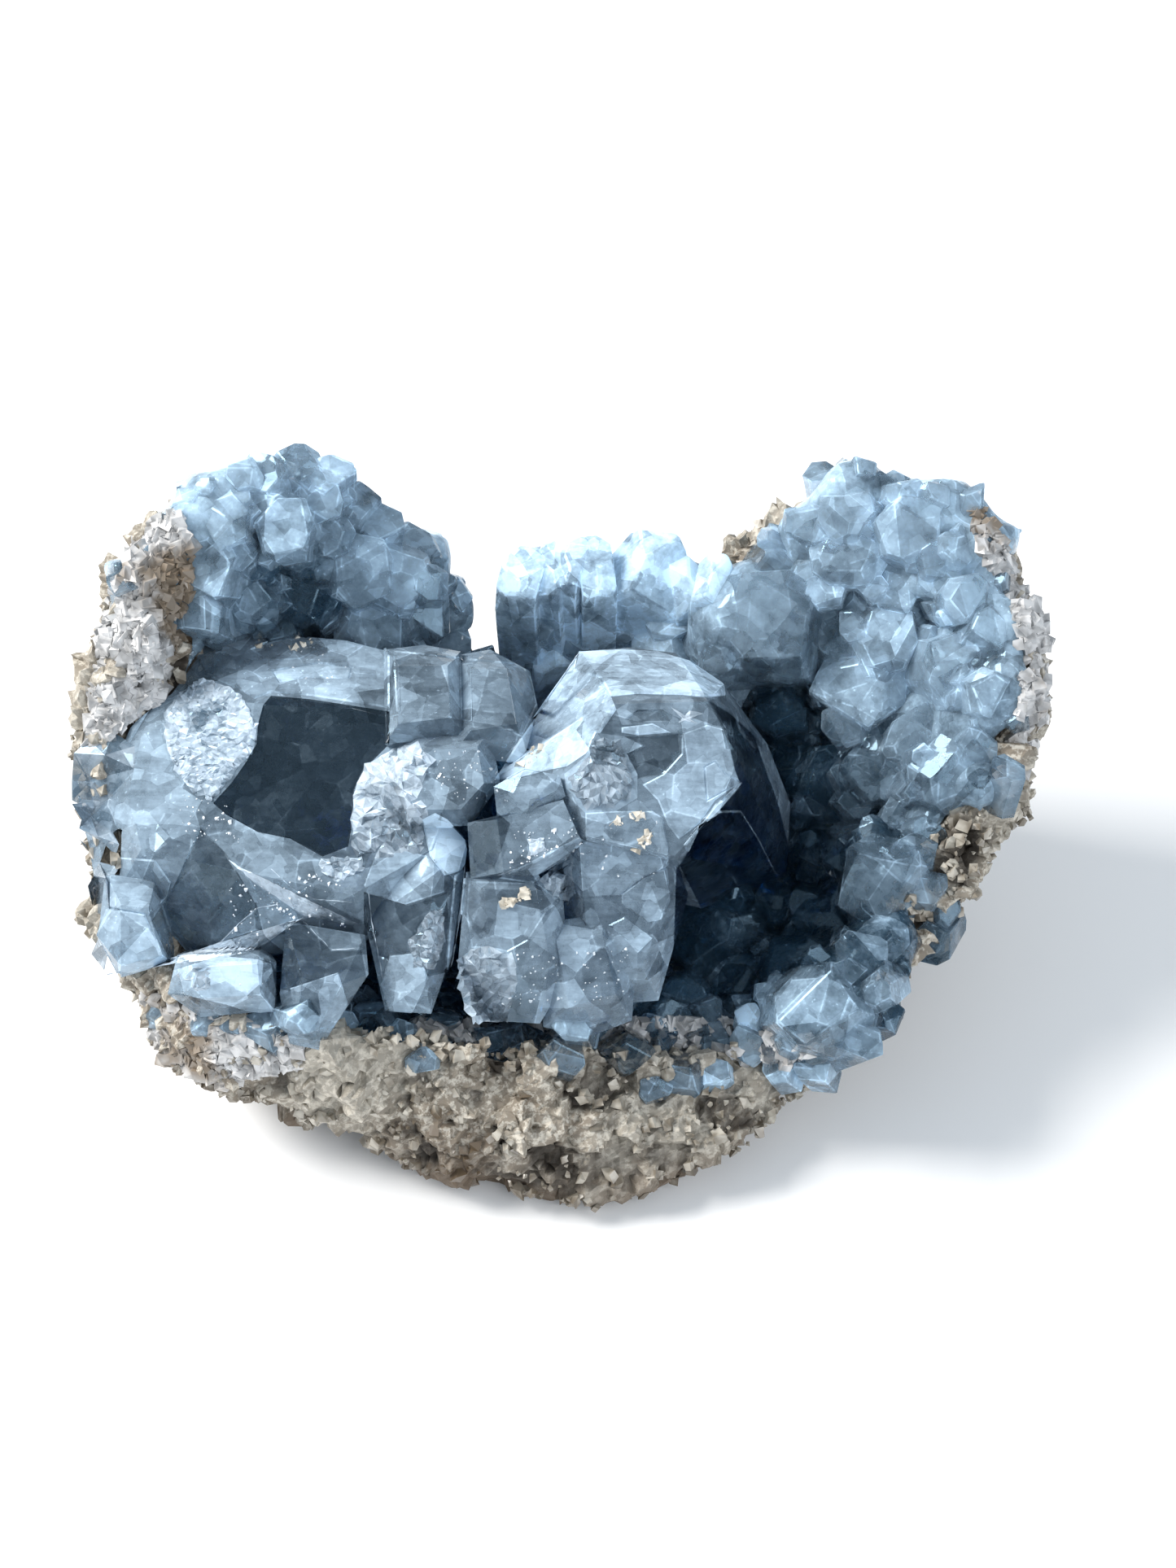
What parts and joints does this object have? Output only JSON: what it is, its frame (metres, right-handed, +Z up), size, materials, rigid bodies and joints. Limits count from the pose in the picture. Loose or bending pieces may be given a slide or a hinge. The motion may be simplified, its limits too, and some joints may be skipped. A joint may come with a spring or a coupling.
{
  "type": "celestite crystal cluster",
  "caption": "Horseshoe-shaped geode piece: rough rock matrix carrying large intergrown pale blue crystals and a crust of small ones, resting on a flat base.",
  "frame": {"origin": "under the middle of the cluster, on the plane that it rests on", "axes": "+Z up, -Y towards the open front of the hollow, +X to the right as seen from the front"},
  "size_m": [0.147, 0.0984, 0.079],
  "materials": {
    "matrix_rock": "rough, sugary, broken",
    "large_crystal": "clear to cloudy, glossy faces with veils",
    "crust_crystal": "clear to milky, glossy faces"
  },
  "bodies": {
    "root": {"matrix": "matrix_rock", "large_crystals": "large_crystal", "crystal_crust": "crust_crystal"}
  },
  "joints": []
}
